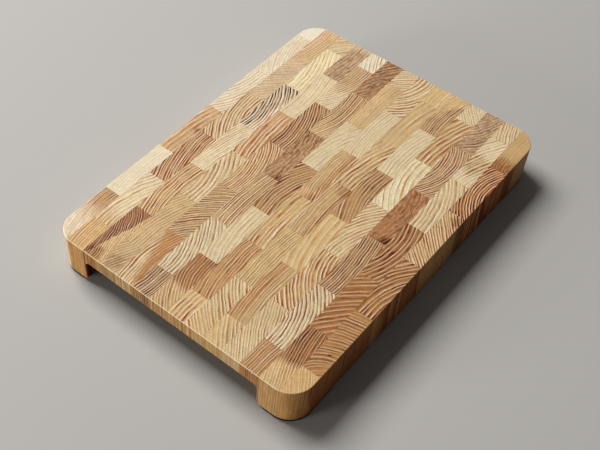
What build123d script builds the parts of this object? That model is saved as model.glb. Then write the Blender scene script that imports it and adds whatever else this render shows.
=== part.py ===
from build123d import *
import os

# End-grain butcher block board: blocks stand on end in glued strips, over an open slot between two legs.
# Millimetres. X runs across the board, Y from the front end to the back end, Z up from the floor.

# Board
board_width = 300.0
board_length = 420.0
board_height = 44.5
corner_radius = 25.0
edge_round = 0.8

# Slot under the board, open at both ends, and the leg on each side of it
leg_width = 43.0
slab_thickness = 16.5
slot_fillet = 6.0
leg_round = 3.5

# Strips of equal width lie along Y, and the outer two lose the trim when the board is cut to width
strip_count = 14
edge_trim = 1.9

# Blocks of one strip, counted from the front: the joints of every second strip are staggered
block_length = 79.2
first_joint = 73.5
stagger_share = 0.5

# How far each strip, from the left, slid towards the back when the board was glued up, in blocks
slip_shares = (0, 0.05, 0.02, 0.04, 0, 0, -0.03, 0, -0.025, 0, -0.01, 0.015, -0.01, 0)

# A block shorter than this isn't glued on at an end: its neighbour reaches the end instead
least_block = 8.0

# Flat rubber feet under the ends of the legs
foot_height = 3.0
foot_length = 60.0
foot_corner_radius = 3.0
foot_outer_inset = 0.5
foot_inner_inset = 5.0

# Reach of cutting tools past the faces that they cut
overrun = 10.0

slot_width = board_width - 2 * leg_width
slot_height = board_height - slab_thickness
strip_width = (board_width + 2 * edge_trim) / strip_count


def whole_board():
    """The board as one solid, before it is parted into blocks, standing on the feet."""
    board = extrude(RectangleRounded(board_width, board_length, corner_radius), board_height)
    slot_depth = slot_height + overrun
    slot = Box(slot_width, board_length + 2 * overrun, slot_depth)
    board -= Pos(0, 0, slot_height - slot_depth / 2) * slot

    slot_corners = board.edges().filter_by(Axis.Y).group_by(Axis.Z)[1]
    board = fillet(slot_corners, slot_fillet)
    leg_corners = board.edges().filter_by(Axis.Y).group_by(Axis.Z)[0].sort_by(Axis.X)[1:3]
    board = fillet(leg_corners, leg_round)

    # The rounding runs on along each edge's tangent chain, round the rim and round the underside
    levels = board.edges().filter_by(Axis.Y).group_by(Axis.Z)
    rim = levels[-1].sort_by(Axis.X)
    underside = levels[0].sort_by(Axis.X)
    board = fillet([rim[0], rim[-1], underside[0], underside[-1]], edge_round)
    return Pos(0, 0, foot_height) * board


def block_ends(number):
    """Places along Y where the blocks of one strip end, reaching past both ends of the board."""
    front_end = -board_length / 2
    back_end = board_length / 2
    slip_share = slip_shares[(number - 1) % len(slip_shares)]
    joint = front_end + first_joint + slip_share * block_length
    if number % 2 == 0:
        joint -= stagger_share * block_length
    joint -= block_length * ((joint - front_end - least_block) // block_length)
    places = [front_end - overrun]
    while joint < back_end - least_block:
        places.append(joint)
        joint += block_length
    return places + [back_end + overrun]


def block_tool(left, right, front, back):
    """Tall box that cuts one block out of the whole board."""
    height = foot_height + board_height + 2 * overrun
    middle = Pos((left + right) / 2, (front + back) / 2, height / 2 - overrun)
    return middle * Box(right - left, back - front, height)


def strip_blocks(board, number):
    """Blocks of one strip, from the front to the back. Strips are numbered from 1 on the left."""
    right = number * strip_width - board_width / 2 - edge_trim
    left = right - strip_width
    ends = block_ends(number)
    tools = [block_tool(left, right, front, back) for front, back in zip(ends[:-1], ends[1:])]
    return [(board & tool).solid() for tool in tools]


def foot(side, end):
    """Rubber foot under one leg: side is -1 on the left and 1 on the right, end -1 in front and 1 behind."""
    width = leg_width - foot_outer_inset - foot_inner_inset
    outer_x = side * (board_width / 2 - foot_outer_inset)
    outer_y = end * (board_length / 2 - foot_outer_inset)
    middle = Pos(outer_x - side * width / 2, outer_y - end * foot_length / 2, foot_height / 2)
    block = middle * Box(width, foot_length, foot_height)
    upright = block.edges().filter_by(Axis.Z)
    outer_corner = upright.sort_by_distance(Vector(outer_x, outer_y, foot_height / 2))[0]
    block = fillet(outer_corner, corner_radius - foot_outer_inset)
    upright = block.edges().filter_by(Axis.Z)
    inner_corners = upright.sort_by_distance(Vector(outer_x, outer_y, foot_height / 2))[2:]
    return fillet(inner_corners, foot_corner_radius)


os.makedirs("parts", exist_ok=True)

board = whole_board()
for number in range(1, strip_count + 1):
    export_step(Compound(strip_blocks(board, number)), f"parts/strip_{number:02d}.step")

for end_name, end in (("front", -1), ("back", 1)):
    for side_name, side in (("left", -1), ("right", 1)):
        export_step(foot(side, end), f"parts/foot_{end_name}_{side_name}.step")
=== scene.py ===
import bmesh
import bpy
import math
from collections import namedtuple
from mathutils import Matrix, Vector
from typing import NamedTuple


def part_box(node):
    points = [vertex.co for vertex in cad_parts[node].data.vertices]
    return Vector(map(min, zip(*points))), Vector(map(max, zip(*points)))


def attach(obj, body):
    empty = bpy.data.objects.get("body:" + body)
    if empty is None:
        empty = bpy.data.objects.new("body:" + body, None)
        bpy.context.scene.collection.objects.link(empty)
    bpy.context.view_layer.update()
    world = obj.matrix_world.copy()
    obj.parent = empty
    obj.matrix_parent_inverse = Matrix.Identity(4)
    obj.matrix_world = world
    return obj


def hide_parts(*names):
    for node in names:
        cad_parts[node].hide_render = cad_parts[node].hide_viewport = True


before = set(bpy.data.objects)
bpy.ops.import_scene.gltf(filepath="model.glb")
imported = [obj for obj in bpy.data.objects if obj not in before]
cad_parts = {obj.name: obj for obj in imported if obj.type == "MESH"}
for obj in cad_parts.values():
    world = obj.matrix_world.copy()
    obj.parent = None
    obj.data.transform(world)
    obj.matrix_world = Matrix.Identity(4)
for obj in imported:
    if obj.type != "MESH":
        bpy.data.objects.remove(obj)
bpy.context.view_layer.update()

MM = 0.001


class Finish(NamedTuple):
    """Colours of a growth ring as they look on screen, in parts of 255 and in the order of its growth."""

    light: tuple
    middle: tuple
    dark: tuple
    # Share of the ring that its dark end takes
    line: float


class Block(NamedTuple):
    """How the wood of one block looks, with lengths in millimetres and places from the block's middle."""

    # Name of the finish
    finish: str
    # Place of the pith that the rings go round
    pith: tuple
    # Width of a ring
    ring: float
    # How strongly the lines show
    mark: float
    # How much dark fleck there is
    fleck: float = 0.0
    # Name of a second finish that the block goes over into
    into: str = None
    # Way that it goes over in degrees from +X, distance of the change from the middle, and its length
    turn: tuple = None
    # Place in X and Y, radius and darkness of a knot
    knot: tuple = None
    # How much the rings swirl, 1 in plain wood
    wild: float = 1.0
    # How far the lines fade in groups
    patchy: float = 0.4


# Finishes of the wood
FINISHES = {
    "white": Finish((243, 238, 228), (236, 226, 208), (220, 198, 168), 0.36),
    "plain_ivory": Finish((238, 228, 206), (231, 216, 188), (217, 192, 156), 0.36),
    "ivory": Finish((234, 229, 214), (226, 213, 184), (206, 160, 110), 0.38),
    "ivory_gold": Finish((226, 219, 198), (221, 207, 168), (198, 140, 48), 0.26),
    "ivory_orange": Finish((236, 233, 220), (227, 216, 186), (190, 118, 50), 0.34),
    "cream": Finish((228, 219, 196), (221, 204, 167), (196, 144, 82), 0.40),
    "yellow": Finish((235, 229, 216), (230, 217, 176), (214, 168, 64), 0.42),
    "peach": Finish((219, 208, 182), (213, 196, 158), (190, 140, 84), 0.42),
    "pink_tan": Finish((222, 205, 174), (210, 184, 148), (186, 144, 104), 0.42),
    "straw": Finish((219, 207, 181), (212, 191, 148), (176, 114, 46), 0.42),
    "straw_brown": Finish((220, 208, 180), (210, 187, 140), (160, 82, 18), 0.48),
    "straw_red": Finish((208, 192, 160), (198, 165, 120), (140, 62, 12), 0.54),
    "zebra": Finish((214, 204, 182), (213, 196, 154), (156, 92, 32), 0.44),
    "zebra_black": Finish((230, 222, 202), (210, 182, 144), (70, 32, 12), 0.58),
    "honey": Finish((217, 199, 164), (210, 181, 130), (182, 112, 40), 0.42),
    "plain_honey": Finish((216, 192, 146), (210, 180, 128), (198, 158, 104), 0.40),
    "gold": Finish((216, 192, 146), (208, 172, 116), (182, 118, 56), 0.42),
    "honey_brown": Finish((218, 203, 172), (206, 175, 123), (158, 80, 14), 0.50),
    "olive": Finish((212, 190, 150), (202, 174, 118), (168, 114, 42), 0.42),
    "tan": Finish((211, 192, 156), (203, 174, 126), (166, 102, 42), 0.46),
    "plain_tan": Finish((203, 176, 133), (197, 164, 115), (186, 146, 95), 0.42),
    "tan_brown": Finish((210, 192, 156), (198, 165, 114), (142, 68, 14), 0.52),
    "apricot": Finish((222, 200, 164), (212, 177, 134), (192, 136, 88), 0.42),
    "orange": Finish((219, 203, 174), (206, 171, 126), (166, 82, 28), 0.48),
    "plain_orange": Finish((190, 144, 92), (181, 129, 75), (174, 119, 65), 0.45),
    "rust_tan": Finish((204, 172, 127), (190, 147, 97), (142, 78, 30), 0.50),
    "orange_brown": Finish((218, 202, 168), (200, 165, 114), (152, 70, 20), 0.50),
    "orange_rust": Finish((192, 162, 114), (178, 132, 80), (116, 34, 2), 0.56),
    "rust": Finish((200, 177, 138), (184, 146, 96), (126, 52, 8), 0.58),
    "russet": Finish((212, 194, 158), (199, 160, 112), (142, 58, 8), 0.54),
    "rust_red": Finish((216, 180, 134), (194, 138, 84), (100, 18, 1), 0.56),
    "brown": Finish((214, 196, 160), (186, 148, 102), (92, 40, 8), 0.54),
    "pale_walnut": Finish((220, 200, 170), (202, 170, 132), (142, 94, 60), 0.46),
    "walnut": Finish((210, 178, 140), (194, 153, 112), (120, 72, 44), 0.50),
    "umber": Finish((198, 152, 100), (176, 122, 72), (98, 48, 16), 0.54),
    "mahogany": Finish((206, 164, 120), (188, 134, 91), (112, 60, 34), 0.50),
    "ebony": Finish((212, 166, 116), (172, 114, 70), (66, 16, 2), 0.56),
}

# Tones of a ring, in the order of its growth
TONES = ("light", "middle", "dark")

# Blocks of each strip from the left, each strip from the front to the back
STRIPS = (
    (
        Block("russet", (150, 25), 2.5, 0.85, 0.05, into="plain_ivory", turn=(-90, -4, 38)),
        Block("ivory", (200, 10), 3.0, 0.30),
        Block("orange", (300, -25), 5.5, 0.65, knot=(8, 2, 6.5, 0.9), patchy=0.6),
        Block("ivory", (-120, 38), 4.0, 0.80),
        Block("ivory", (120, 39), 3.0, 0.60),
        Block("white", (150, 40), 3.0, 0.20),
    ),
    (
        Block("gold", (200, 20), 2.6, 0.80),
        Block("cream", (130, -25), 4.2, 0.85, into="honey", turn=(-90, 24, 24)),
        Block("russet", (165, 42), 2.9, 1.0, patchy=0.1),
        Block("straw_brown", (95, 33), 3.4, 0.90, patchy=0.2),
        Block("pink_tan", (150, -150), 3.2, 0.60, 0.15),
        Block("apricot", (-145, 10), 3.0, 0.80, into="honey", turn=(0, 3, 8)),
    ),
    (
        Block("ebony", (-120, -50), 2.2, 1.0, 0.3, into="plain_honey", turn=(-14, 1.5, 1.6),
              knot=(-1, -32, 12, 1.0), wild=2.5),
        Block("honey_brown", (130, 12), 3.2, 1.0, patchy=0.1),
        Block("cream", (200, -32), 2.8, 0.85),
        Block("zebra_black", (-100, -31), 3.2, 1.0, into="ivory_orange", turn=(-8, 6, 5), patchy=0.2),
        Block("yellow", (-140, -36), 4.3, 0.65, patchy=0.2),
        Block("straw", (153, -129), 4.0, 0.55),
    ),
    (
        Block("tan", (180, -80), 3.0, 0.50, 0.3, knot=(0, -7, 12, 0.35)),
        Block("tan", (150, -28), 3.2, 0.60, into="olive", turn=(130, 20, 20)),
        Block("straw", (-110, -33), 4.4, 0.80, patchy=0.2),
        Block("orange", (250, 25), 4.6, 1.0, patchy=0.6),
        Block("cream", (-200, -20), 3.2, 0.45),
        Block("pale_walnut", (-250, 10), 3.6, 0.65, 0.6, into="peach", turn=(90, 26, 30), wild=1.5),
    ),
    (
        Block("straw_brown", (120, -5), 3.0, 0.85, into="plain_orange", turn=(15, -1, 8)),
        Block("tan_brown", (170, -170), 2.9, 0.95, 0.15),
        Block("honey_brown", (-90, -22), 2.6, 1.0, patchy=0.1),
        Block("rust", (-120, -31), 2.8, 1.0, patchy=0.1),
        Block("straw_red", (-90, 30), 2.8, 0.65, into="cream", turn=(-90, 4, 30)),
        Block("ivory_orange", (180, 85), 4.2, 0.75),
    ),
    (
        Block("brown", (-150, 10), 2.6, 1.0, 0.1, patchy=0.2),
        Block("zebra", (-100, -43), 3.3, 0.80, patchy=0.0),
        Block("tan_brown", (300, 0), 2.5, 0.90, into="tan", turn=(-90, 22, 20), patchy=0.1),
        Block("walnut", (-120, -10), 4.2, 0.45, 0.8, knot=(11, -40, 13, 1.0), wild=2.5, patchy=0.7),
        Block("tan_brown", (-110, 9), 2.5, 0.85, into="tan", turn=(-90, 22, 24), patchy=0.1),
        Block("walnut", (170, -90), 4.2, 0.65, 0.85, wild=2.5, patchy=0.6),
    ),
    (
        Block("umber", (80, 33), 2.8, 0.70, 0.2, into="honey_brown", turn=(-100, 6, 10)),
        Block("peach", (150, 27), 4.2, 0.55),
        Block("rust", (90, -17), 3.3, 0.95),
        Block("peach", (150, -36), 4.0, 0.55, patchy=0.7),
        Block("honey", (300, 0), 2.5, 0.60, into="tan", turn=(0, 0, 10)),
        Block("straw", (170, -170), 3.5, 1.0),
    ),
    (
        Block("honey_brown", (250, 0), 4.5, 1.0, into="plain_honey", turn=(90, 4, 6)),
        Block("rust_tan", (200, 26), 3.0, 0.85, patchy=0.6),
        Block("honey_brown", (300, 10), 4.2, 0.75, patchy=0.7),
        Block("plain_tan", (220, 20), 2.8, 0.90, into="rust_tan", turn=(0, 2, 8), knot=(5, -36, 8, 0.45)),
        Block("peach", (250, 10), 3.0, 0.50),
        Block("straw_brown", (-50, 25), 4.2, 0.85, patchy=0.2),
    ),
    (
        Block("straw_brown", (140, 140), 3.3, 0.75, into="honey", turn=(-90, 8, 18)),
        Block("olive", (300, 0), 2.5, 0.85),
        Block("plain_tan", (250, 10), 3.0, 0.90, into="rust_tan", turn=(0, 5, 5), knot=(5, 36, 14, 0.45)),
        Block("tan", (200, -36), 4.4, 0.85, into="tan_brown", turn=(0, 4, 6), patchy=0.6),
        Block("tan", (300, -20), 6.0, 0.45, patchy=0.7),
        Block("plain_honey", (250, 0), 4.0, 0.50),
    ),
    (
        Block("plain_honey", (150, 105), 4.0, 0.80, into="honey_brown", turn=(0, 3, 8)),
        Block("rust_tan", (250, 15), 3.0, 0.60, into="tan_brown", turn=(0, 0, 6)),
        Block("honey", (200, 37), 6.5, 0.45),
        Block("rust", (120, 18), 3.4, 0.75, patchy=0.6),
        Block("peach", (150, -11), 4.0, 0.50),
        Block("tan_brown", (200, -10), 2.5, 0.85, 0.2, into="plain_honey", turn=(145, 6, 4)),
    ),
    (
        Block("straw_brown", (170, 100), 2.6, 0.65, into="straw", turn=(-90, 10, 20)),
        Block("honey_brown", (75, 42), 3.6, 0.90, patchy=0.2),
        Block("straw_brown", (90, -37), 3.6, 0.75),
        Block("ivory_gold", (100, 29), 6.0, 0.80),
        Block("orange_brown", (170, -31), 5.2, 0.75),
        Block("peach", (150, 128), 2.8, 0.80),
    ),
    (
        Block("rust_tan", (200, -10), 2.5, 0.85, 0.1),
        Block("zebra", (-90, -38), 3.4, 1.0, patchy=0.0),
        Block("rust", (-250, -20), 2.5, 0.95, patchy=0.1),
        Block("mahogany", (-100, 0), 4.0, 0.45, 0.72, knot=(10.8, -40, 13, 1.0), wild=2.5, patchy=0.7),
        Block("straw_red", (-65, 4), 2.5, 0.95, patchy=0.1),
        Block("pale_walnut", (-150, 90), 3.6, 0.70, 0.68, wild=2.0, patchy=0.5),
    ),
    (
        Block("umber", (200, 54), 2.6, 1.0, 0.2, into="plain_honey", turn=(-80, 8, 14)),
        Block("umber", (150, -150), 5.2, 0.60, patchy=0.3),
        Block("orange_rust", (-95, 8), 4.0, 0.90, patchy=0.3),
        Block("straw", (-120, -36), 4.0, 0.75, patchy=0.2),
        Block("cream", (220, -90), 3.6, 0.70, knot=(-1, -6, 22, 0.6)),
        Block("straw", (220, 80), 3.0, 0.85),
    ),
    (
        Block("gold", (160, 112), 2.6, 0.50, into="umber", turn=(0, 9.4, 1.5)),
        Block("orange_rust", (20, -53), 3.4, 0.60, knot=(2, -15, 1.6, 0.8), patchy=0.6),
        Block("orange_rust", (90, -33), 4.0, 0.90, patchy=0.3),
        Block("honey_brown", (150, 135), 2.8, 0.90, knot=(9, 34, 13, 1.0), patchy=0.2),
        Block("rust_red", (60, 6), 2.8, 1.0, patchy=0.1),
        Block("umber", (250, 0), 3.0, 0.40, 0.6, into="plain_tan", turn=(90, -16, 20)),
    ),
)


def colour(red, green, blue):
    """Linear colour with alpha for a colour as it looks on screen, in parts of 255 on the sRGB curve."""
    linear = []
    for part in (red, green, blue):
        share = part / 255
        if share <= 0.04045:
            linear.append(share / 12.92)
        else:
            linear.append(((share + 0.055) / 1.055) ** 2.4)
    return (*linear, 1.0)


class Shader:
    """Node tree of one material, with short calls for the nodes that are used here."""

    def __init__(self, name):
        self.material = bpy.data.materials.new(name)
        self.material.use_nodes = True
        self.tree = self.material.node_tree
        self.surface = self.tree.nodes["Principled BSDF"]

    def put(self, socket, value):
        """Links a socket to a node's output, or sets it to a value."""
        if isinstance(value, bpy.types.NodeSocket):
            self.tree.links.new(value, socket)
        else:
            socket.default_value = value

    def node(self, kind, inputs=(), **settings):
        """New node with its settings and inputs."""
        made = self.tree.nodes.new(kind)
        for name, value in settings.items():
            setattr(made, name, value)
        for place, value in inputs:
            self.put(made.inputs[place], value)
        return made

    def math(self, operation, *values, clamp=False):
        made = self.node("ShaderNodeMath", enumerate(values), operation=operation, use_clamp=clamp)
        return made.outputs[0]

    def plus(self, first, second):
        return self.math("ADD", first, second)

    def minus(self, first, second):
        return self.math("SUBTRACT", first, second)

    def times(self, first, second):
        return self.math("MULTIPLY", first, second)

    def vector(self, operation, *values):
        made = self.node("ShaderNodeVectorMath", enumerate(values), operation=operation)
        return made.outputs[0]

    def scaled(self, vector, factor):
        made = self.node("ShaderNodeVectorMath", ((0, vector), ("Scale", factor)), operation="SCALE")
        return made.outputs[0]

    def parts(self, vector):
        made = self.node("ShaderNodeSeparateXYZ", ((0, vector),))
        return made.outputs[0], made.outputs[1], made.outputs[2]

    def joined(self, x, y, z):
        return self.node("ShaderNodeCombineXYZ", ((0, x), (1, y), (2, z))).outputs[0]

    def attribute(self, name, output="Vector"):
        return self.node("ShaderNodeAttribute", attribute_name=name).outputs[output]

    def place(self):
        """Place in the board, in millimetres."""
        return self.scaled(self.node("ShaderNodeTexCoord").outputs["Object"], 1 / MM)

    def noise(self, vector, scale=1.0, detail=1.0, roughness=0.5):
        """Noise that runs from about 0.3 to 0.7."""
        inputs = (("Vector", vector), ("Scale", scale), ("Detail", detail), ("Roughness", roughness))
        return self.node("ShaderNodeTexNoise", inputs).outputs["Fac"]

    def swing(self, vector, scale, detail=1.0):
        """Noise about 0."""
        return self.minus(self.noise(vector, scale, detail), 0.5)

    def line_swing(self, place, scale):
        """Noise about 0 along a line."""
        inputs = (("W", place), ("Scale", scale), ("Detail", 1.0))
        made = self.node("ShaderNodeTexNoise", inputs, noise_dimensions="1D")
        return self.minus(made.outputs["Fac"], 0.5)

    def random(self, number):
        """Value from 0 to 1 that is another one for each number."""
        made = self.node("ShaderNodeTexWhiteNoise", (("W", number),), noise_dimensions="1D")
        return made.outputs["Value"]

    def step(self, value, low, high, to_low=0.0, to_high=1.0):
        """Smooth step from to_low at low to to_high at high."""
        inputs = (("Value", value), ("From Min", low), ("From Max", high))
        inputs += (("To Min", to_low), ("To Max", to_high))
        return self.node("ShaderNodeMapRange", inputs, interpolation_type="SMOOTHSTEP").outputs[0]

    def between(self, share, first, second):
        """Smooth step from one value at a share of 0 to another at 1."""
        return self.step(share, 0.0, 1.0, first, second)

    def mix(self, factor, first, second, blend="MIX"):
        """Mix of two colours, which are inputs 6 and 7 and output 2 of a node that mixes other kinds too."""
        inputs = ((0, factor), (6, first), (7, second))
        return self.node("ShaderNodeMix", inputs, data_type="RGBA", blend_type=blend).outputs[2]

    def tinted(self, tone, tint):
        """Colour multiplied by a tint."""
        return self.mix(1.0, tone, tint, "MULTIPLY")

    def shaded(self, tone, level):
        """Colour made lighter or darker by a level about 1."""
        return self.tinted(tone, self.joined(level, level, level))

    def deepened(self, tone, power):
        """Colour made deeper: pale wood stays pale, and brown wood turns darker and redder."""
        return self.node("ShaderNodeGamma", (("Color", tone), ("Gamma", power))).outputs[0]

    def bump(self, height, distance, strength):
        inputs = (("Height", height), ("Distance", distance), ("Strength", strength))
        return self.node("ShaderNodeBump", inputs).outputs[0]


# Where a point lies: in the board, along the fibres, out from the pith and along the rings of its block
Grain = namedtuple("Grain", "x y fibre reach flow seed shift")

# Fibres run up the block, so their patterns are stretched along Z, and each block has its own by a shift
FIBRE_STRETCH = (1.0, 1.0, 0.06)
SEED_SHIFT = 37.0

# Rings wander in waves and ripples: waves per millimetre, and how far in millimetres
WAVE_SCALE = 0.05
WAVE_REACH = 3.0
RIPPLE_SCALE = 0.35
RIPPLE_REACH = 0.5

# Most that the rings slant, in millimetres for two millimetres up the block
SLANT = 0.08


def ring_place(s, x, y):
    """Distance from the block's pith, and place along the ring from the side that faces the block."""
    pith_x, pith_y = s.parts(s.attribute("pith"))[:2]
    away_x, away_y, radius = s.parts(s.attribute("away"))
    from_x = s.minus(x, pith_x)
    from_y = s.minus(y, pith_y)
    out = s.plus(s.times(from_x, away_x), s.times(from_y, away_y))
    side = s.minus(s.times(from_y, away_x), s.times(from_x, away_y))
    distance = s.math("SQRT", s.plus(s.times(out, out), s.times(side, side)))
    along = s.times(s.math("ARCTAN2", side, out), radius)
    return distance, along


def grain_of(s):
    """Where a point lies in its block, in millimetres."""
    place = s.place()
    x, y, z = s.parts(place)
    seed = s.parts(s.attribute("low"))[2]
    shift = s.scaled(s.joined(seed, seed, seed), SEED_SHIFT)
    fibre = s.vector("ADD", s.vector("MULTIPLY", place, FIBRE_STRETCH), shift)
    distance, along = ring_place(s, x, y)
    wild = s.parts(s.attribute("habit"))[0]
    wave = s.times(s.times(s.swing(fibre, WAVE_SCALE), WAVE_REACH), wild)
    ripple = s.times(s.swing(fibre, RIPPLE_SCALE, detail=2.0), RIPPLE_REACH)
    slant = s.times(z, s.times(s.minus(seed, 0.5), SLANT))
    reach = s.plus(s.plus(distance, s.plus(wave, ripple)), slant)
    return Grain(x, y, fibre, reach, s.joined(reach, along, z), seed, shift)


def flowing(s, grain, flow):
    """Place for a noise that follows the rings: waves per millimetre out from the pith, round it and up."""
    return s.vector("ADD", s.vector("MULTIPLY", grain.flow, flow), grain.shift)


# Groups of lines that fade in patchy blocks, and lines that are stronger and weaker along their length
GROUP_FLOW = (0.16, 0.03, 0.0)
GROUP_NOISE = (0.4, 0.58)
BREAK_FLOW = (0.25, 0.07, 0.0)
BREAK_NOISE = (0.36, 0.64)
BREAK_LEVELS = (1.25, 0.6)


def line_fade(s, grain):
    """How strong the lines are from place to place."""
    group = s.step(s.noise(flowing(s, grain, GROUP_FLOW)), *GROUP_NOISE, 1.0, 0.0)
    patchy = s.parts(s.attribute("habit"))[1]
    fade = s.minus(1.0, s.times(patchy, group))
    broken = s.step(s.noise(flowing(s, grain, BREAK_FLOW)), *BREAK_NOISE, *BREAK_LEVELS)
    return s.times(fade, broken)


# Uneven rings: waves per ring, how far in rings, strength of the faintest line, and each block's shifts
UNEVEN_SCALE = 0.5
UNEVEN_REACH = 0.9
UNEVEN_SHIFT = 90.0
FAINTEST_RING = 0.75
FAINT_SHIFT = 200.0

# A line starts and is full so many of its widths before the ring's end, and breaks off over its last part
LINE_START = 1.3
LINE_FULL = 0.7
LINE_END = (0.94, 1.0)

# Part of a ring over which its pale rim fades
RIM_END = (0.14, 0.34)


def ring_lines(s, grain, line):
    """Rings of uneven width and strength: how dark each ends, and how pale the next one starts."""
    ring = s.parts(s.attribute("pith"))[2]
    count = s.math("DIVIDE", grain.reach, ring)
    uneven = s.line_swing(s.plus(count, s.times(grain.seed, UNEVEN_SHIFT)), UNEVEN_SCALE)
    count = s.plus(count, s.times(uneven, UNEVEN_REACH))
    phase = s.math("FRACT", count)
    number = s.plus(s.math("FLOOR", count), s.times(grain.seed, FAINT_SHIFT))
    strength = s.between(s.random(number), FAINTEST_RING, 1.0)
    fade = line_fade(s, grain)
    start = s.minus(1.0, s.times(line, LINE_START))
    full = s.minus(1.0, s.times(line, LINE_FULL))
    dark = s.times(s.step(phase, start, full), s.step(phase, *LINE_END, 1.0, 0.0))
    dark = s.times(dark, s.times(strength, fade))
    pale = s.times(s.step(phase, *RIM_END, 1.0, 0.0), fade)
    return dark, pale


# Ragged edge of a block's second finish: waves per millimetre, and how far in millimetres
CHANGE_SCALE = 0.12
CHANGE_REACH = 6.0

# Pale rims are whitened, and dark lines are warmed by the oil
RIM_COLOUR = (236, 236, 226)
RIM_SHARE = 0.34
LINE_TINT = (0.9, 0.72, 0.64, 1.0)


def block_tones(s, grain, dark_share, pale):
    """Colour of the rings, and how far the block has gone over into its second finish."""
    turn_x, turn_y, turn_length = s.parts(s.attribute("turn"))
    turn_place = s.parts(s.attribute("high"))[2]
    ragged = s.times(s.swing(grain.fibre, CHANGE_SCALE, detail=3.0), CHANGE_REACH)
    progress = s.plus(s.times(grain.x, turn_x), s.times(grain.y, turn_y))
    progress = s.plus(s.minus(progress, turn_place), ragged)
    gone_over = s.step(s.math("DIVIDE", progress, turn_length), -0.5, 0.5)
    tones = []
    for name in TONES:
        near = s.attribute(name, "Color")
        far = s.attribute(f"{name}_far", "Color")
        tones.append(s.mix(gone_over, near, far))
    light, middle, dark = tones
    light = s.mix(RIM_SHARE, light, colour(*RIM_COLOUR))
    tone = s.mix(dark_share, middle, s.tinted(dark, LINE_TINT))
    return s.mix(pale, tone, light), gone_over


# Fleck: dashes along the rings in denser and thinner streaks, specks, and how dark each is
FLECK_COLOUR = (96, 54, 28)
FLECK_DARK = 0.95
DASH_FLOW = (0.62, 0.13, 0.03)
DASH_NOISE = (0.46, 0.57)
STREAK_SCALE = 0.2
STREAK_NOISE = (0.35, 0.65)
THIN_STREAK = 0.55
SPECK_SCALE = 0.45
SPECK_NOISE = (0.48, 0.58)
SPECK_DARK = 0.45


def dark_fleck(s, tone, grain, amount):
    """Short dark dashes along the rings, denser in some streaks than in others, and fainter specks."""
    place = flowing(s, grain, DASH_FLOW)
    dash = s.step(s.noise(place, detail=3.0, roughness=0.6), *DASH_NOISE)
    streak = s.step(s.noise(place, STREAK_SCALE, detail=2.0), *STREAK_NOISE, THIN_STREAK, 1.0)
    speck = s.noise(grain.fibre, SPECK_SCALE, detail=2.0, roughness=0.7)
    speck = s.step(speck, *SPECK_NOISE, 0.0, SPECK_DARK)
    dark = s.math("MAXIMUM", s.times(dash, streak), speck)
    share = s.times(s.times(dark, amount), FLECK_DARK)
    return s.mix(share, tone, colour(*FLECK_COLOUR))


# Light and shade in all the wood: mottling, rays across the rings, and fine lines, weaker in plain blocks
MOTTLE_SCALE = 0.04
MOTTLE_NOISE = (0.3, 0.7)
MOTTLE_LEVELS = (0.95, 1.04)
RAY_FLOW = (0.2, 1.1, 0.05)
RAY_NOISE = (0.3, 0.7)
RAY_LEVELS = (0.92, 1.07)
THREAD_FLOW = (1.0, 0.12, 0.03)
THREAD_NOISE = (0.32, 0.68)
THREAD_LEVELS = (-0.13, 0.09)
PLAIN_THREADS = 0.2


def mottling(s, tone, grain):
    """Slow change between lighter and darker wood."""
    cloud = s.noise(grain.fibre, MOTTLE_SCALE, detail=2.0)
    return s.shaded(tone, s.step(cloud, *MOTTLE_NOISE, *MOTTLE_LEVELS))


def rays(s, tone, grain):
    """Faint rays across the rings."""
    ray = s.noise(flowing(s, grain, RAY_FLOW))
    return s.shaded(tone, s.step(ray, *RAY_NOISE, *RAY_LEVELS))


def fine_lines(s, tone, grain, mark):
    """Faint fine lines along the rings, weaker in plain blocks."""
    thread = s.step(s.noise(flowing(s, grain, THREAD_FLOW)), *THREAD_NOISE, *THREAD_LEVELS)
    strength = s.between(mark, PLAIN_THREADS, 1.0)
    return s.shaded(tone, s.plus(1.0, s.times(thread, strength)))


# Pores along the fibres, and thin glue lines, full and faded at these millimetres from a joint
PORE_STRETCH = (1.0, 1.0, 0.8)
PORE_SCALE = 1.6
PORE_NOISE = (0.58, 0.72)
PORE_COLOUR = (110, 72, 42)
PORE_SHARE = 0.25
GLUE_WIDTH = (0.04, 0.22)
GLUE_COLOUR = (104, 68, 42)
GLUE_SHARE = 0.4


def pores(s, grain):
    """Small pores along the fibres."""
    place = s.vector("MULTIPLY", grain.fibre, PORE_STRETCH)
    return s.step(s.noise(place, PORE_SCALE), *PORE_NOISE)


def glue_lines(s, grain):
    """Thin lines where a block meets its neighbours."""
    low_x, low_y = s.parts(s.attribute("low"))[:2]
    high_x, high_y = s.parts(s.attribute("high"))[:2]
    gap_x = s.math("MINIMUM", s.minus(grain.x, low_x), s.minus(high_x, grain.x))
    gap_y = s.math("MINIMUM", s.minus(grain.y, low_y), s.minus(high_y, grain.y))
    return s.step(s.math("MINIMUM", gap_x, gap_y), *GLUE_WIDTH, 1.0, 0.0)


# Knots: share of the radius that is full dark, least edge and ragged edge in millimetres, and tint
KNOT_CORE = 0.35
KNOT_EDGE = 0.001
KNOT_RAGGED = 5.0
KNOT_TINT = (0.6, 0.51, 0.52, 1.0)

# A knot is less dark between its lines, and its colour is deepened by a power of at most 1 and this more
KNOT_LINES = (0.0, 0.6)
KNOT_BETWEEN = 0.45
KNOT_DEPTH = 0.9


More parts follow.
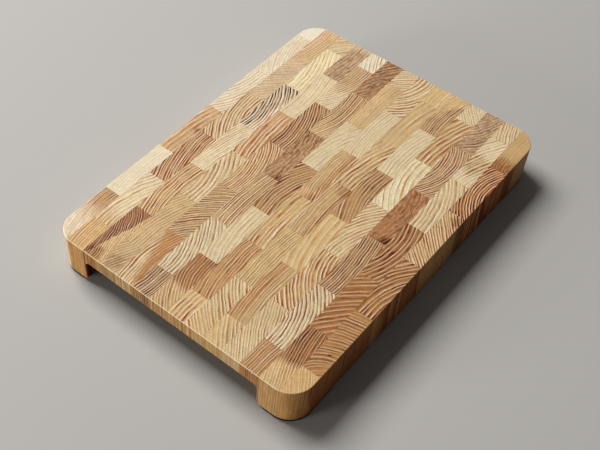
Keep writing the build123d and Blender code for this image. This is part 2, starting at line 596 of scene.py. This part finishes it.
def knots(s, tone, grain, dark):
    """Dark knot with a ragged edge and darker rings in it, in the blocks that have one."""
    knot_x, knot_y, radius = s.parts(s.attribute("knot"))
    gap = s.vector("SUBTRACT", s.joined(grain.x, grain.y, 0.0), s.joined(knot_x, knot_y, 0.0))
    distance = s.node("ShaderNodeVectorMath", ((0, gap),), operation="LENGTH").outputs["Value"]
    ragged = s.times(s.swing(grain.fibre, RIPPLE_SCALE, detail=2.0), KNOT_RAGGED)
    core = s.times(radius, KNOT_CORE)
    knot = s.step(s.plus(distance, ragged), core, s.plus(radius, KNOT_EDGE), 1.0, 0.0)
    darkness = s.parts(s.attribute("habit"))[2]
    darkness = s.times(darkness, s.step(dark, *KNOT_LINES, KNOT_BETWEEN, 1.0))
    share = s.times(knot, darkness)
    deep = s.deepened(tone, s.plus(1.0, s.times(share, KNOT_DEPTH)))
    return s.mix(share, deep, KNOT_TINT, "MULTIPLY")


# Parts of a face's direction over which it counts as a side, as rounded and as facing right, where shade is
# painted
SIDE_RANGE = (0.5, 0.9)
ROUND_START = (0.05, 0.25)
ROUND_END = (0.93, 0.995)
RIGHT_SHADE_RANGE = (0.2, 0.9)

# Painted highlight along the rounded edges, hardly any along the right side, which faces away from the key
# light
EDGE_HIGHLIGHT_COLOUR = (244, 226, 186)
EDGE_HIGHLIGHT_SHARE = 0.6
RIGHT_HIGHLIGHT_RANGE = (0.1, 0.4)
RIGHT_HIGHLIGHT_SHARE = 0.1

# Powers that deepen the sides, partly as their own deeper long-grain tone and partly as painted shade, and
# the right side further as painted shade, and less so pale wood, which is told by its blue
SIDE_AND_SHADE_POWERS = (1.2, 1.4)
SIDE_TINT = (1.0, 0.93, 0.88, 1.0)
BLUE_RANGE = (0.2, 0.45)
PALE_SIDE_SHARE = 0.45


def side_faces(s):
    """How far a face is one of the sides, how far it is a rounded edge that gets a painted highlight, and
    how far it faces right, where shade is painted.
    """
    normal = s.parts(s.node("ShaderNodeNewGeometry").outputs["Normal"])
    upright = s.math("ABSOLUTE", normal[2])
    side = s.step(upright, *SIDE_RANGE, 1.0, 0.0)
    rounded = s.times(s.step(upright, *ROUND_START), s.step(upright, *ROUND_END, 1.0, 0.0))
    # Painted highlight on the rounded edges, faded where they face right
    edge_highlight = s.times(rounded, s.step(normal[0], *RIGHT_HIGHLIGHT_RANGE, 1.0, RIGHT_HIGHLIGHT_SHARE))
    right = s.step(normal[0], *RIGHT_SHADE_RANGE)
    return side, edge_highlight, right


def side_tones_shade_highlights(s, tone, side, edge_highlight, right):
    """Sides are long grain and deeper in colour, partly as painted shade, the right one most as painted
    shade, with painted highlights along the rounded edges.
    """
    blue = s.node("ShaderNodeSeparateColor", ((0, tone),)).outputs[2]
    brown = s.step(blue, *BLUE_RANGE, 1.0, PALE_SIDE_SHARE)
    # Painted shade: the sides deepened, partly as their own long-grain tone, and the right side further
    deep = s.tinted(s.deepened(tone, s.between(right, *SIDE_AND_SHADE_POWERS)), SIDE_TINT)
    tone = s.mix(s.times(side, brown), tone, deep)
    # Painted highlight: the rounded edges mixed towards a pale colour
    return s.mix(s.times(edge_highlight, EDGE_HIGHLIGHT_SHARE), tone, colour(*EDGE_HIGHLIGHT_COLOUR))


# Roughness of plain wood, what pores, fine grain and lines add or take, and how strong reflections are
WOOD_ROUGH = 0.5
PORE_ROUGH = 0.18
FINE_ROUGH = 0.12
LINE_GLOSS = 0.06
WOOD_SPECULAR = 0.12

# Relief of the wood, of which lines and fine grain take these shares
WOOD_RELIEF = 0.06 * MM
WOOD_BUMP = 0.6
LINE_RELIEF = 0.5
FINE_RELIEF = 0.35
FINE_STRETCH = (1.0, 1.0, 1.5)
FINE_SCALE = 5.0


def satin(s, grain, share, pore, glue):
    """Oiled, satin surface with the soft early wood a little lower than the lines."""
    fine = s.noise(s.vector("MULTIPLY", grain.fibre, FINE_STRETCH), FINE_SCALE, detail=2.0)
    rough = s.plus(WOOD_ROUGH, s.times(pore, PORE_ROUGH))
    rough = s.plus(rough, s.times(fine, FINE_ROUGH))
    rough = s.minus(rough, s.times(share, LINE_GLOSS))
    height = s.plus(s.times(share, LINE_RELIEF), s.times(fine, FINE_RELIEF))
    height = s.minus(height, s.plus(pore, glue))
    s.put(s.surface.inputs["Roughness"], rough)
    s.put(s.surface.inputs["Specular IOR Level"], WOOD_SPECULAR)
    s.put(s.surface.inputs["Normal"], s.bump(height, WOOD_RELIEF, WOOD_BUMP))


# Oil warms the colour of all the wood
OIL_TINT = (0.98, 0.95, 0.9, 1.0)

# How strong lines and pale rims are on the sides, and pale rims in plain, marked and flecked blocks
SIDE_LINES = 0.65
SIDE_RIMS = 0.5
MARK_RIMS = (0.4, 0.9)
FLECK_RANGE = (0.2, 0.7)
FLECK_RIMS = 0.6


def wood():
    """End-grain wood: rings about each block's own pith, with pores, rays and fibres along the block."""
    s = Shader("end_grain_wood")
    grain = grain_of(s)
    mark, line, fleck = s.parts(s.attribute("figure"))
    side, edge_highlight, right = side_faces(s)

    # Rings in the block's two finishes, fainter on the sides
    dark, pale = ring_lines(s, grain, line)
    dark = s.times(dark, s.between(side, 1.0, SIDE_LINES))
    share = s.math("MULTIPLY", mark, dark, clamp=True)
    pale = s.times(pale, s.between(side, 1.0, SIDE_RIMS))
    pale = s.times(pale, s.between(mark, *MARK_RIMS))
    pale = s.times(pale, s.step(fleck, *FLECK_RANGE, 1.0, FLECK_RIMS))
    tone, gone_over = block_tones(s, grain, share, pale)

    # Fleck in the first finish only, and what all the wood has
    tone = mottling(s, tone, grain)
    tone = dark_fleck(s, tone, grain, s.times(fleck, s.minus(1.0, gone_over)))
    tone = rays(s, tone, grain)
    tone = fine_lines(s, tone, grain, mark)
    pore = pores(s, grain)
    tone = s.mix(s.times(pore, PORE_SHARE), tone, colour(*PORE_COLOUR))
    tone = knots(s, tone, grain, dark)
    tone = s.tinted(tone, OIL_TINT)
    # Sides deepened partly as painted shade, most on the right, and painted highlights on the rounded edges
    tone = side_tones_shade_highlights(s, tone, side, edge_highlight, right)
    glue = glue_lines(s, grain)
    tone = s.mix(s.times(glue, GLUE_SHARE), tone, colour(*GLUE_COLOUR))
    s.put(s.surface.inputs["Base Color"], tone)
    satin(s, grain, share, pore, glue)
    return s.material


# Rubber: pebbles and dust in waves per millimetre
RUBBER_COLOUR = (14, 13, 12)
DUST_COLOUR = (27, 26, 25)
DUST_SCALE = 0.12
DUST_NOISE = (0.45, 0.75)
PEBBLE_SCALE = 1.6
PEBBLE_NOISE = (0.3, 0.7)
RUBBER_ROUGH = (0.68, 0.88)
RUBBER_RELIEF = 0.12 * MM
RUBBER_BUMP = 0.7


def rubber():
    """Black moulded rubber with a fine pebbled skin and a little dust."""
    s = Shader("black_rubber")
    place = s.place()
    pebble = s.noise(place, PEBBLE_SCALE, detail=3.0)
    dust = s.step(s.noise(place, DUST_SCALE, detail=4.0, roughness=0.6), *DUST_NOISE)
    s.put(s.surface.inputs["Base Color"], s.mix(dust, colour(*RUBBER_COLOUR), colour(*DUST_COLOUR)))
    s.put(s.surface.inputs["Roughness"], s.step(pebble, *PEBBLE_NOISE, *RUBBER_ROUGH))
    s.put(s.surface.inputs["Normal"], s.bump(pebble, RUBBER_RELIEF, RUBBER_BUMP))
    return s.material


# A joint's face is further than this from the strip's ends, and faces more squarely than this along Y
END_MARGIN = 5 * MM
SQUARE = 0.999

# Step from a face into its own block
INWARD = 0.01 * MM

# Points that agree to this many decimals of a metre are one, and faces this flat are one
DECIMALS = 6
FLAT_ANGLE = math.radians(0.3)

# Edges sharper than this stay sharp
ROUND_ANGLE = math.radians(35)


def joints_of(mesh, low, high):
    """Places along Y where the blocks of one strip meet, from the front to the back."""
    places = set()
    for face in mesh.polygons:
        inside = low.y + END_MARGIN < face.center.y < high.y - END_MARGIN
        if inside and abs(face.normal.y) > SQUARE:
            places.add(round(face.center.y, DECIMALS))
    return sorted(places)


def block_of(face, joints):
    """Number of the block that a face belongs to, from 0 in front."""
    inside = face.center.y - INWARD * face.normal.y
    return sum(inside > joint for joint in joints)


def blocks_mesh(name, source, joints):
    """Mesh of one strip with each block closed by itself, and the number of the block at each point."""
    made = bmesh.new()
    layer = made.verts.layers.int.new("block")
    points = {}
    for face in source.polygons:
        block = block_of(face, joints)
        corners = []
        for index in face.vertices:
            place = source.vertices[index].co
            key = (block, *(round(part, DECIMALS) for part in place))
            if key not in points:
                points[key] = made.verts.new(place)
                points[key][layer] = block
            corners.append(points[key])
        if len(set(corners)) == len(corners):
            made.faces.new(corners)
    bmesh.ops.dissolve_limit(made, angle_limit=FLAT_ANGLE, verts=made.verts, edges=made.edges)
    mesh = bpy.data.meshes.new(name)
    made.to_mesh(mesh)
    made.free()
    mesh.shade_smooth()
    mesh.set_sharp_from_angle(angle=ROUND_ANGLE)
    return mesh


# Distance that no block reaches, in millimetres, for what a block doesn't have
NOWHERE = 1000

# Steps from strip to strip and from block to block of the number that makes each block's patterns its own
STRIP_SEED = 0.137
BLOCK_SEED = 0.311


def block_values(block, middle, low, high, seed):
    """What the wood of one block looks like, as values for the mesh, in millimetres."""
    first = FINISHES[block.finish]
    second = FINISHES[block.into or block.finish]
    radius = math.hypot(*block.pith)
    angle, offset, length = block.turn or (0, NOWHERE, 1)
    turn = (math.cos(math.radians(angle)), math.sin(math.radians(angle)))
    turn_place = middle[0] * turn[0] + middle[1] * turn[1] + offset
    knot_x, knot_y, knot_radius, knot_dark = block.knot or (0, NOWHERE, 0, 0)
    return {
        "pith": (middle[0] + block.pith[0], middle[1] + block.pith[1], block.ring),
        "away": (-block.pith[0] / radius, -block.pith[1] / radius, radius),
        "figure": (block.mark, first.line, block.fleck),
        "turn": (*turn, length),
        "knot": (middle[0] + knot_x, middle[1] + knot_y, knot_radius),
        "habit": (block.wild, block.patchy, knot_dark),
        "low": (*low, seed),
        "high": (*high, turn_place),
        **{name: colour(*getattr(first, name)) for name in TONES},
        **{f"{name}_far": colour(*getattr(second, name)) for name in TONES},
    }


def strip_values(number, low, high, joints):
    """Values of the blocks of one strip, from the front to the back."""
    left = low.x / MM
    right = high.x / MM
    ends = [place / MM for place in (low.y, *joints, high.y)]
    # Glue lines are only where a neighbour is, so at the board's own faces they are out of reach
    glue_left = left if number > 1 else left - NOWHERE
    glue_right = right if number < len(STRIPS) else right + NOWHERE
    glue_ends = [ends[0] - NOWHERE, *ends[1:-1], ends[-1] + NOWHERE]
    values = []
    for index, block in enumerate(STRIPS[number - 1]):
        middle = ((left + right) / 2, (ends[index] + ends[index + 1]) / 2)
        glue_low = (glue_left, glue_ends[index])
        glue_high = (glue_right, glue_ends[index + 1])
        seed = (STRIP_SEED * number + BLOCK_SEED * index) % 1.0
        values.append(block_values(block, middle, glue_low, glue_high, seed))
    return values


def give_values(mesh, values):
    """Writes each block's values to its points of the mesh: colours of four parts, and others of three."""
    numbers = [entry.value for entry in mesh.attributes["block"].data]
    for name in values[0]:
        kind, field = ("FLOAT_COLOR", "color") if len(values[0][name]) == 4 else ("FLOAT_VECTOR", "vector")
        attribute = mesh.attributes.new(name, kind, "POINT")
        flat = [part for number in numbers for part in values[number][name]]
        attribute.data.foreach_set(field, flat)


def strip(number, material):
    """One strip of blocks in place of its CAD node."""
    node = f"strip_{number:02d}"
    low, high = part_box(node)
    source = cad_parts[node].data
    joints = joints_of(source, low, high)
    mesh = blocks_mesh(f"{node}_blocks", source, joints)
    give_values(mesh, strip_values(number, low, high, joints))
    mesh.materials.append(material)
    piece = bpy.data.objects.new(f"{node}_blocks", mesh)
    bpy.context.collection.objects.link(piece)
    normals = piece.modifiers.new("flat_faces", "WEIGHTED_NORMAL")
    normals.keep_sharp = True
    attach(piece, "root")
    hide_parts(node)


def feet(material):
    """The rubber feet keep their CAD shape and get their own finish."""
    for name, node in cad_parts.items():
        if name.startswith("foot"):
            node.material_slots[0].material = material


# Floor, in metres from the middle to its sides
FLOOR_REACH = 8.0
FLOOR_COLOUR = (174, 171, 166)
FLOOR_ROUGH = 0.8


def floor():
    """Plain pale floor."""
    mesh = bpy.data.meshes.new("floor")
    reach = FLOOR_REACH
    corners = [(-reach, -reach, 0), (reach, -reach, 0), (reach, reach, 0), (-reach, reach, 0)]
    mesh.from_pydata(corners, [], [(0, 1, 2, 3)])
    ground = bpy.data.objects.new("floor", mesh)
    bpy.context.collection.objects.link(ground)
    s = Shader("pale_floor")
    s.put(s.surface.inputs["Base Color"], colour(*FLOOR_COLOUR))
    s.put(s.surface.inputs["Roughness"], FLOOR_ROUGH)
    mesh.materials.append(s.material)


# Lamps: place and size in metres, and power in watts
KEY_PLACE = (-2.5, 0.15, 3.2)
KEY_SIZE = 2.1
KEY_POWER = 204
FILL_PLACE = (-2.4, -4.8, 0.9)
FILL_SIZE = 1.6
FILL_POWER = 142
SKY_STRENGTH = 0.09


def lamp(name, place, size, power):
    """Soft square lamp at a place, aimed at the middle of the floor under the board."""
    light = bpy.data.lights.new(name, "AREA")
    light.shape = "SQUARE"
    light.size = size
    light.energy = power
    made = bpy.data.objects.new(name, light)
    bpy.context.collection.objects.link(made)
    made.location = place
    made.rotation_euler = (-Vector(place)).to_track_quat("-Z", "Y").to_euler()


def lights():
    """Key light high on the left, a weak low fill in front, and a dim even sky."""
    lamp("key", KEY_PLACE, KEY_SIZE, KEY_POWER)
    lamp("fill", FILL_PLACE, FILL_SIZE, FILL_POWER)
    world = bpy.data.worlds.new("sky")
    world.use_nodes = True
    sky = world.node_tree.nodes["Background"]
    sky.inputs["Color"].default_value = (1, 1, 1, 1)
    sky.inputs["Strength"].default_value = SKY_STRENGTH
    bpy.context.scene.world = world


# Camera, found from the board's corners in the photograph: place in metres, lens and sensor in millimetres
CAMERA_PLACE = (0.38634, -0.58761, 0.80023)
CAMERA_LENS = 60.72
SENSOR_WIDTH = 36.0

# Its turn about Z, tilt up from straight down and roll in degrees, and its shift in widths of the frame
CAMERA_TURN = 39.716
CAMERA_TILT = 40.664
CAMERA_ROLL = 0.648
CAMERA_SHIFT = (0.119, -0.0078)


def camera():
    """Camera at the photograph's place."""
    view = bpy.data.cameras.new("camera")
    view.sensor_width = SENSOR_WIDTH
    view.lens = CAMERA_LENS
    view.shift_x, view.shift_y = CAMERA_SHIFT
    made = bpy.data.objects.new("camera", view)
    bpy.context.collection.objects.link(made)
    turn = Matrix.Rotation(math.radians(CAMERA_TURN), 4, "Z")
    tilt = Matrix.Rotation(math.radians(CAMERA_TILT), 4, "X")
    roll = Matrix.Rotation(math.radians(CAMERA_ROLL), 4, "Z")
    made.matrix_world = Matrix.Translation(CAMERA_PLACE) @ turn @ tilt @ roll
    bpy.context.scene.camera = made


wood_finish = wood()
for strip_number in range(1, len(STRIPS) + 1):
    strip(strip_number, wood_finish)
feet(rubber())
floor()
lights()
camera()
bpy.context.scene.view_settings.view_transform = "Standard"
